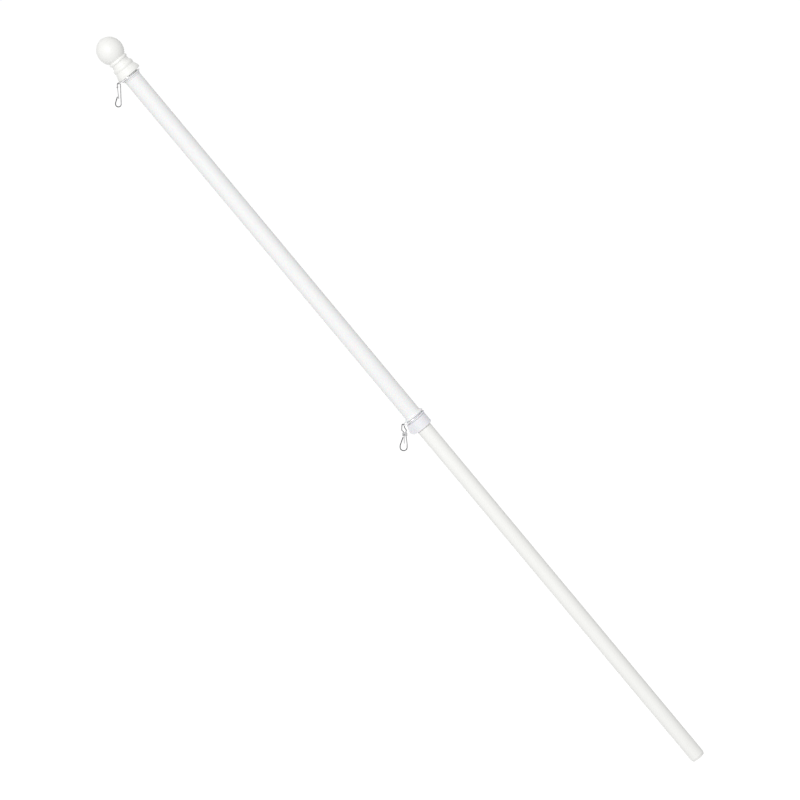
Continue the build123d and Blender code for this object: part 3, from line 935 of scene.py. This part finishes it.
    def screw(self) -> Surface:
        """Forms the slotted set screw.

        Each row is a section of the screw at a distance x from its middle plane: a rectangle as wide as the
        circle's chord there, 2 sqrt(R^2 - x^2), and as tall as the screw, less the slot where x lies in it.

        Returns:
            The screw's surface.
        """
        reach = self.pole.reach("collar_screw")
        seat, head, middle = reach.back, reach.front, (reach.bottom + reach.top) / 2
        radius, (width, depth), wall = self.screw_radius, self.slot, self.slot_wall
        chords = radius * np.cos(np.linspace(np.pi, 0, self.screw_rows)[1:-1])
        x = np.unique(np.concatenate([chords, [-width / 2 - wall, -width / 2, width / 2, width / 2 + wall]]))
        chord = np.sqrt(radius**2 - x**2)[:, None]
        sunk = (np.abs(x) <= width / 2 + ROUNDING)[:, None] * depth
        corners = [(-1.0, 0.0), (1.0, 0.0), (1.0, 1.0), (-1.0, 1.0)]
        section = rounded_line(corners, [self.screw_edge] * 4, closed=True, hold=self.screw_hold)
        tall = seat + section[:, 1] * (head - sunk - seat)
        grid = self.pole.axes.place(-tall, section[:, 0] * chord, middle + np.repeat(x[:, None], len(section), axis=1))
        ends = [self.pole.axes.place(-(seat + head) / 2, 0.0, middle + side * radius) for side in (-1, 1)]
        return Surface(grid, start=ends[0], end=ends[1])

    def build(self) -> None:
        """Builds the collar and its screw."""
        colours = (0.855, 0.858, 0.885), (0.830, 0.834, 0.868)
        plastic = Plastic("collar_plastic", self.pole.lean, *colours, sheen=(0.36, 0.46))
        zinc = Metal("screw_zinc", (0.56, 0.57, 0.58), (0.38, 0.38, 0.39), sheen=(0.30, 0.48))
        Piece("moulded_collar", "stop_collar", "pole", "collar_plastic", [self.collar()], plastic.material()).build()
        Piece("set_screw", "collar_screw", "pole", "screw_steel", [self.screw()], zinc.material()).build()


# ---- rings and clips ----


@dataclass
class WireRing:
    """A loose ring of plated wire, closed with a butt joint."""

    pole: Pole  # the frame's measured places
    side: str  # which end of the tube it is at, upper or lower
    wire: float = 1.5 * MM  # the wire's diameter
    joint_place: float = 118.0  # angle of the butt joint from the side of the pole that the ring rests on, in degrees
    joint_width: float = 0.22 * MM  # width of the joint's groove
    joint_depth: float = 0.22  # depth of the joint's groove, as a share of the wire's radius
    # how many points stand round the ring, across the joint, and round the wire
    points: tuple[int, int, int] = (168, 17, 20)

    def ring(self) -> Surface:
        """Bends the wire into a ring.

        The point at angles a round the ring and b round the wire is ((R + r cos(b)) cos(a), (R + r cos(b)) sin(a),
        r sin(b)), where r dips by a bell curve at the joint.

        Returns:
            The ring's surface.
        """
        low, high = (np.array(corner, float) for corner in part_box(f"{self.side}_ring"))
        axes = Axes((low + high) / 2, self.pole.axes.x, self.pole.axes.y, self.pole.axes.z)
        radius = (float(high[1] - low[1]) - self.wire) / 2
        place = math.radians(self.joint_place)
        round_ring, over_joint, round_wire = self.points
        near = self.joint_width / radius * np.linspace(-3, 3, over_joint)
        even = np.linspace(0, 2 * np.pi, round_ring, endpoint=False)
        a = np.unique(np.concatenate([even, place + near]))[:, None]
        b = np.linspace(0, 2 * np.pi, round_wire, endpoint=False)
        dip = np.exp(-(((a - place) * radius / self.joint_width) ** 2))
        r = self.wire / 2 * (1 - self.joint_depth * dip)
        grid = axes.place((radius + r * np.cos(b)) * np.cos(a), (radius + r * np.cos(b)) * np.sin(a), r * np.sin(b))
        return Surface(grid, joined=True)

    def build(self) -> None:
        """Builds the ring in plated wire."""
        # Paler than the clips' plating on the same steel wire: painted light that lifts the shaded gap round the ring.
        side, plated = self.side, Metal(f"{self.side}_ring_plating", (0.86, 0.86, 0.87), (0.66, 0.66, 0.67)).material()
        Piece(f"{side}_wire_ring", f"{side}_ring", f"{side}_ring_body", "ring_wire", [self.ring()], plated).build()


@dataclass
class SnapClip:
    """What both clips share: the plane they hang in, and their gates and rivets.

    Corners and bends of a wire are in millimetres, across and down from the place on the ring that the clip swings on.
    """

    side: str  # which clip it is, upper or lower
    joints: list[dict[str, Any]]  # the frame's joints
    wire: float = 1.5 * MM  # diameter of the clip's wire
    gate_wire: float = 1.2 * MM  # diameter of the gate's wire
    gate_end: Pair = (0.0, 0.0)  # where the gate ends, in millimetres
    gate_rows: int = 9  # how many points the gate's line has
    knuckle: float = 1.4 * MM  # radius of the flattened eye at a wire's end
    bore: float = 0.65 * MM  # radius of the eye's bore
    eye_edges: Pair = (0.1 * MM, 0.25 * MM)  # radius of the eye's edges at its bore and at its rim
    eye_gap: float = 0.1 * MM  # how far outside the bore the gate's wire ends
    shank: float = 0.6 * MM  # radius of the rivet
    head: Pair = (1.0 * MM, 0.4 * MM)  # radius and height of the rivet's heads
    head_edges: Triple = (0.05 * MM, 0.08 * MM, 0.3 * MM)  # radius of the edges under a head, round its rim and over it
    stack: float = 1.4 * MM  # half the length between the heads
    columns: tuple[int, int, int] = (24, 40, 32)  # how many points go round the clip's wire, an eye and the rivet
    turns: Pair = (6.0, 12.0)  # most that a wire and the rivet's outline turn between two points, in degrees
    # how far from an edge of an eye and of the rivet a straight run gets a point of its own
    holds: Pair = (0.08 * MM, 0.05 * MM)

    def __post_init__(self) -> None:
        """Reads where the clip hangs and where its gate turns, and makes its metals."""
        places = {joint["name"]: np.array(joint["pos_m"], float) for joint in self.joints}
        hung, pivot = places[f"{self.side}_clip_swing"], places[f"{self.side}_gate_press"]
        self.axes = Axes(hung, np.array([1.0, 0, 0]), np.array([0, 0, -1.0]), np.array([0, 1.0, 0]))
        self.pivot: Pair = (float(pivot[0] - hung[0]), float(hung[2] - pivot[2]))
        self.across = self.axes.moved(*self.pivot, 0.0)
        # Near-black second colour: painted shade at the clip's bends and hook arm, and the colour of its pits and
        # streaks.
        self.plated = Metal(f"{self.side}_clip_plating", (0.48, 0.48, 0.485), (0.04, 0.04, 0.045)).material()
        steel = Metal(f"{self.side}_rivet_steel", (0.20, 0.20, 0.205), (0.10, 0.10, 0.105), (0.4, 0.55))
        self.steel = steel.material()

    def bent(self, corners: Sequence[Pair], bends: Sequence[float]) -> Array:
        """Returns a wire's centre line from its corners and bends in millimetres."""
        return rounded_line([(u * MM, w * MM) for u, w in corners], [r * MM for r in bends], turn=self.turns[0])

    def clip_wire(self, path: Array) -> Surface:
        """Returns the clip's wire along a centre line."""
        return bent_wire(self.axes, path, self.wire / 2, sides=self.columns[0])

    def knuckle_disc(self, low: float, high: float) -> Surface:
        """Turns the flattened eye at a wire's end.

        Args:
            low: Where it starts along the pivot.
            high: Where it ends.

        Returns:
            The eye's surface.
        """
        corners = [(self.bore, low), (self.knuckle, low), (self.knuckle, high), (self.bore, high)]
        bends = [*self.eye_edges, *self.eye_edges[::-1]]
        line = rounded_line(corners, bends, closed=True, hold=self.holds[0])
        return lathe(self.across, line, self.columns[1], joined=True)

    def gate(self, depth: float) -> list[Surface]:
        """Forms the gate: a straight wire from the pivot, with an eye round the rivet.

        Args:
            depth: How far behind the clip's middle plane it lies.

        Returns:
            The wire and its eye.
        """
        start, run = np.array(self.pivot), np.array(self.gate_end) * MM - np.array(self.pivot)
        line = start + np.linspace(0, 1, self.gate_rows)[:, None] * run
        half = self.gate_wire / 2
        line[0] = start + unit(run) * (self.bore + self.eye_gap + END_DOME * half)
        return [bent_wire(self.axes, line, half, depth), self.knuckle_disc(depth - half, depth + half)]

    def rivet(self) -> Surface:
        """Turns the rivet, with a button head at each end.

        Returns:
            The rivet's surface.
        """
        (radius, height), stack = self.head, self.stack
        half = [(self.shank, stack), (radius, stack), (radius, stack + height), (0.0, stack + height)]
        bends = [*self.head_edges, 0.0]
        points = [(r, -h) for r, h in half[::-1]] + half
        line = rounded_line(points, bends[::-1] + bends, turn=self.turns[1], hold=self.holds[1])
        return lathe(self.across, line, self.columns[2])

    def fit(self, name: str, node: str, slot: str, surfaces: Sequence[Surface], finish: bpy.types.Material) -> None:
        """Builds one piece of the clip.

        Args:
            name: The piece's name after the clip's.
            node: The CAD node's name after the clip's.
            slot: The record's material slot.
            surfaces: Its surfaces.
            finish: Its material.
        """
        side, part = self.side, "gate" if node == "clip_gate" else "clip"
        Piece(f"{side}_{name}", f"{side}_{node}", f"{side}_{part}", slot, surfaces, finish).build()

    def fit_gate(self, depth: float) -> None:
        """Builds the gate, at a depth behind the clip's middle plane, and the rivet that it turns on."""
        self.fit("snap_gate", "clip_gate", "clip_wire", self.gate(depth), self.plated)
        self.fit("snap_rivet", "clip_rivet", "clip_rivet", [self.rivet()], self.steel)


@dataclass
class UpperClip(SnapClip):
    """The one-piece clip at the top: eye, spine and hook bent from a single wire."""

    gate_end: Pair = (-0.449, 23.6)
    # corners of the wire, from its end at the pivot to its free end
    corners: tuple[Pair, ...] = (
        *((-2.45, 3.7), (-2.45, -1.8), (2.45, -1.8)),
        *((3.6, 36.5), (-5.6, 36.5), (-5.6, 30.0), (-2.5, 20.3)),
    )
    bends: tuple[float, ...] = (0.0, 2.35, 2.35, 4.5, 4.5, 10.0, 0.0)  # radius of the bend at each corner
    clearance: float = 0.15 * MM  # gap between the coined end and the gate's eye
    fade: Pair = (0.3 * MM, 1.0 * MM)  # how far past its eye the wire stays squeezed, and over what length that fades
    run_rows: int = 13  # how many points the run from the coined end to the first bend has

    def coined(self, points: Array) -> Array:
        """Squeezes the wire away from the gate's eye.

        A point at y goes to (y + r) s - r, where r is the wire's radius and s is the share of its thickness that is
        left. Near its own eye s is (r - clearance) / 2r, and past that it eases to 1.

        Args:
            points: Points of the wire's surface.

        Returns:
            The points after the squeeze.
        """
        radius = self.wire / 2
        offset = points - self.across.origin
        far = np.hypot(offset[..., 0], offset[..., 2])
        fade = eased((far - self.knuckle - self.fade[0]) / self.fade[1])
        left = (radius - self.clearance) / self.wire
        moved = points.copy()
        moved[..., 1] -= (offset[..., 1] + radius) * (1 - left) * (1 - fade)
        return moved

    def body(self) -> list[Surface]:
        """Bends the clip's wire and coins its first end flat, beside the gate's eye and short of the rivet.

        The run from that end to the first bend gets points of its own, which carry the squeeze.

        Returns:
            The wire and its flattened eye.
        """
        path = self.bent(self.corners, self.bends)
        run = path[1] + np.linspace(0, 1, self.run_rows)[1:-1, None] * (path[2] - path[1])
        wire = self.clip_wire(np.concatenate([path[:2], run, path[2:]]))
        disc = self.knuckle_disc(-self.clearance - self.gate_wire, -self.clearance)
        coined = replace(wire, grid=self.coined(wire.grid), start=self.coined(wire.start))
        # The hook's free arm gets painted shade.
        return [shaded_arm(coined), disc]

    def build(self) -> None:
        """Builds the clip's wire, gate and rivet."""
        self.fit("snap_wire", "clip_wire", "clip_wire", self.body(), self.plated)
        self.fit_gate(self.clearance + self.gate_wire / 2)


@dataclass
class LowerClip(SnapClip):
    """The clip at the collar: a wire eye and a hook held in a crimped sleeve."""

    gate_end: Pair = (1.749, 29.8)
    stack: float = 1.45 * MM
    # corners of the eye's wire
    eye_corners: tuple[Pair, ...] = (
        *((1.0, 13.62), (1.0, 11.25), (-2.5, 8.0), (-2.0, -1.8), (2.0, -1.8)),
        *((2.0, 3.4), (5.2, 8.0), (4.3, 11.25), (4.3, 13.62)),
    )
    # radius of the bend at each of its corners
    eye_bends: tuple[float, ...] = (0.0, 1.0, 2.5, 1.9, 1.9, 2.5, 2.5, 1.0, 0.0)
    # corners of the hook's wire, up to its free end
    hook_corners: tuple[Pair, ...] = (
        *((4.8, 14.38), (4.8, 18.6), (6.4, 31.0), (6.4, 41.7)),
        *((-5.0, 41.7), (-5.0, 33.0), (-0.2, 19.6)),
    )
    hook_bends: tuple[float, ...] = (0.0, 2.5, 10.0, 5.6, 5.6, 10.0, 0.0)  # radius of the bend at each of its corners
    sleeve_middle: float = 2.6 * MM  # where the sleeve's middle is across
    sleeve_size: Pair = (8.0 * MM, 2.8 * MM)  # width and depth of the sleeve
    sleeve_span: Pair = (12.05 * MM, 17.55 * MM)  # where the sleeve's top and bottom are, down from the ring
    sleeve_wall: float = 0.65 * MM  # thickness of the sleeve's wall
    sleeve_roof: float = 13.95 * MM  # where the inside of the sleeve's top is
    sleeve_corner: float = 1.2 * MM  # radius of the sleeve's upright corners
    # radius of the sleeve's edges, at the inside and outside of its rim and at its top
    sleeve_edges: Triple = (0.3 * MM, 0.3 * MM, 0.55 * MM)
    sleeve_hold: float = 0.1 * MM  # how far from one of those edges a straight run gets a point of its own
    # how the rows that close the sleeve's top, inside and outside, shrink from the wall inwards
    roof_shares: Triple = (0.95, 0.6, 0.2)

    def sleeve(self) -> Surface:
        """Forms the crimped sleeve, a flat oval can that is open at the bottom.

        A row is the oval (K + (R - c) N) s: K runs round the corner centres, N points outwards, R is the corner's
        radius, c is how far the row lies inside the outline, and s shrinks it about its middle. The rows go from
        the middle of the roof inside, down the inner wall, round the rim, up the outer wall and in over the top.

        Returns:
            The sleeve's surface.
        """
        (top, bottom), wall, roof, corner = self.sleeve_span, self.sleeve_wall, self.sleeve_roof, self.sleeve_corner
        half_u, half_y = self.sleeve_size[0] / 2, self.sleeve_size[1] / 2
        corners = [(wall, roof), (wall, bottom), (0.0, bottom), (0.0, top), (corner, top)]
        side = rounded_line(corners, [0.0, *self.sleeve_edges, 0.0], hold=self.sleeve_hold)[:-1]
        corners = [(-half_u, -half_y), (half_u, -half_y), (half_u, half_y), (-half_u, half_y)]
        outline = rounded_line(corners, [corner] * 4, closed=True)
        middles = np.array([half_u - corner, half_y - corner])
        core = np.clip(outline, -middles, middles)
        shares, count = self.roof_shares, len(self.roof_shares)
        inset = np.concatenate([np.full(count, side[0, 0]), side[:, 0], np.full(count, side[-1, 0])])[:, None, None]
        down = np.concatenate([np.full(count, roof), side[:, 1], np.full(count, top)])[:, None]
        share = np.concatenate([shares[::-1], np.ones(len(side)), shares])[:, None, None]
        oval = (core + (1 - inset / corner) * (outline - core)) * share
        middle = self.sleeve_middle
        grid = self.axes.place(middle + oval[..., 0], down, oval[..., 1])
        return Surface(grid, start=self.axes.place(middle, roof, 0.0), end=self.axes.place(middle, top, 0.0))

    def build(self) -> None:
        """Builds the eye, the sleeve, the hook, the gate and the rivet."""
        stamped = Metal("sleeve_steel", (0.46, 0.46, 0.465), (0.26, 0.26, 0.265), (0.30, 0.48), 0.4 * MM).material()
        eye = self.clip_wire(self.bent(self.eye_corners, self.eye_bends))
        # The hook's free arm gets painted shade.
        hook = shaded_arm(self.clip_wire(self.bent(self.hook_corners, self.hook_bends)))
        self.fit("snap_eye", "clip_eye", "clip_wire", [eye], self.plated)
        self.fit("snap_sleeve", "clip_sleeve", "clip_sleeve", [self.sleeve()], stamped)
        self.fit("snap_hook", "clip_hook", "clip_wire", [hook], self.plated)
        self.fit_gate(0.0)


# ---- the studio ----


@dataclass
class Studio:
    """A pale floor, soft light and the camera."""

    pole: Pole  # the frame's measured places
    floor_height: float = -1.2  # height of the floor, well below the pole, which a wall bracket carries
    floor_size: float = 60.0  # half the floor's side
    floor_tones: Pair = (0.91, 0.93)  # the floor's darkest and palest grey
    floor_marks: Marks = Marks(0.4, 3.0)  # the marks that they make
    floor_lift: float = 0.52  # how much light is added where the background is seen, which lifts it to white
    sky: float = 0.55  # strength of the soft light from all round
    # where the large lamp stands from the pole's middle: in front, above and to the left
    key_place: Triple = (-2.7, -8.0, 2.7)
    key_size: float = 2.2  # side of the lamp
    key_power: float = 34.5  # power of the lamp, in watts
    key_spread: float = 50.0  # width of the lamp's beam, in degrees, so that little of it falls on the floor in front
    camera_distance: float = 7.84  # from the camera to the middle of the pole
    camera_rise: float = 10.0  # elevation of the camera above that point, in degrees
    camera_end: float = 200.0  # how far the camera sees
    lens: Pair = (218.2, 36.0)  # focal length and width of the sensor, in millimetres
    aim: Pair = (-5.63 * MM, 5.0 * MM)  # how far the aim lies off the pole's middle, to the right and up

    def seen(self, graph: Graph) -> Socket:
        """Finds rays that see the background: the camera's own, and those off or through the object.

        Args:
            graph: The nodes of the floor or the world.

        Returns:
            1 for such a ray and 0 for the rest.
        """
        rays = graph.add("ShaderNodeLightPath").outputs
        either = graph.math("MAXIMUM", rays["Is Camera Ray"], rays["Is Glossy Ray"])
        return graph.math("MAXIMUM", either, rays["Is Transmission Ray"])

    def floor(self) -> None:
        """Lays the floor: matt and pale, lifted to white where it is seen, and open from below."""
        s, z = self.floor_size, self.floor_height
        mesh = bpy.data.meshes.new("floor")
        mesh.from_pydata([(-s, -s, z), (s, -s, z), (s, s, z), (-s, s, z)], [], [(0, 1, 2, 3)])
        graph = Graph(bpy.data.materials.new("floor_paper"))
        dark, pale = ((tone,) * 3 for tone in self.floor_tones)
        matt = graph.add("ShaderNodeBsdfDiffuse", {"Color": graph.tint(graph.noise(self.floor_marks), dark, pale)})
        lift = graph.math("MULTIPLY", self.seen(graph), self.floor_lift)
        glow = graph.add("ShaderNodeEmission", {"Color": WHITE, "Strength": lift})
        both = graph.add("ShaderNodeAddShader", {0: matt.outputs[0], 1: glow.outputs[0]})
        clear = graph.add("ShaderNodeBsdfTransparent")
        back = graph.add("ShaderNodeNewGeometry").outputs["Backfacing"]
        side = graph.add("ShaderNodeMixShader", {0: back, 1: both.outputs[0], 2: clear.outputs[0]})
        graph.add("ShaderNodeOutputMaterial", {"Surface": side.outputs[0]})
        mesh.materials.append(graph.owner)
        made = shown("floor", mesh)

    def world(self) -> None:
        """Sets the soft light from all round, and the white that the camera and gloss see beyond the floor."""
        graph = Graph(bpy.data.worlds.new("studio"))
        strength = graph.spread(self.seen(graph), (self.sky, 1.0), (0.0, 1.0))
        light = graph.add("ShaderNodeBackground", {"Color": WHITE, "Strength": strength})
        graph.add("ShaderNodeOutputWorld", {"Surface": light.outputs[0]})
        bpy.context.scene.world = graph.owner

    def stand(self, data: bpy.types.ID, target: Array, place: Sequence[float], far: float = 1.0) -> bpy.types.Object:
        """Stands a lamp or a camera where it faces a target.

        Args:
            data: The lamp or the camera.
            target: What it faces.
            place: Where it is from there.
            far: How many times as far as that it is.

        Returns:
            The object that stands there.
        """
        made = shown(data.name, data)
        made.location = tuple(target + np.array(place) * far)
        made.rotation_euler = (-Vector(place)).to_track_quat("-Z", "Y").to_euler()
        return made

    def build(self) -> None:
        """Lays the floor, lights it, and stands the lamp and the camera in front of the pole's middle."""
        self.floor()
        self.world()
        middle = self.pole.axes.place(0, 0, self.pole.reach("finial").top / 2)
        key = bpy.data.lights.new("key", "AREA")
        key.shape, key.size, key.energy = "SQUARE", self.key_size, self.key_power
        key.spread = math.radians(self.key_spread)
        self.stand(key, middle, self.key_place)
        camera = bpy.data.cameras.new("camera")
        (camera.lens, camera.sensor_width), camera.clip_end = self.lens, self.camera_end
        rise, aim = math.radians(self.camera_rise), middle + np.array([self.aim[0], 0.0, self.aim[1]])
        back = np.array([0.0, -math.cos(rise), math.sin(rise)])
        bpy.context.scene.camera = self.stand(camera, aim, back, self.camera_distance)
        bpy.context.scene.view_settings.view_transform = "Standard"
        log.info("studio: floor at %.2f m, camera %.2f m away", self.floor_height, self.camera_distance)


def main() -> None:
    """Builds every sub-assembly on its frame, then the studio."""
    logging.basicConfig(level=logging.INFO, format="%(name)s %(message)s")
    pole = Pole(frame["record"], frame["nodes"])
    joints = frame["joints"]
    for assembly in (
        WoodenPole(pole),
        SpinningTube(pole),
        StopCollar(pole),
        WireRing(pole, "upper"),
        WireRing(pole, "lower"),
        UpperClip("upper", joints),
        LowerClip("lower", joints),
        Studio(pole),
    ):
        log.info("building %s", type(assembly).__name__)
        assembly.build()


if __name__ == "__main__":
    main()
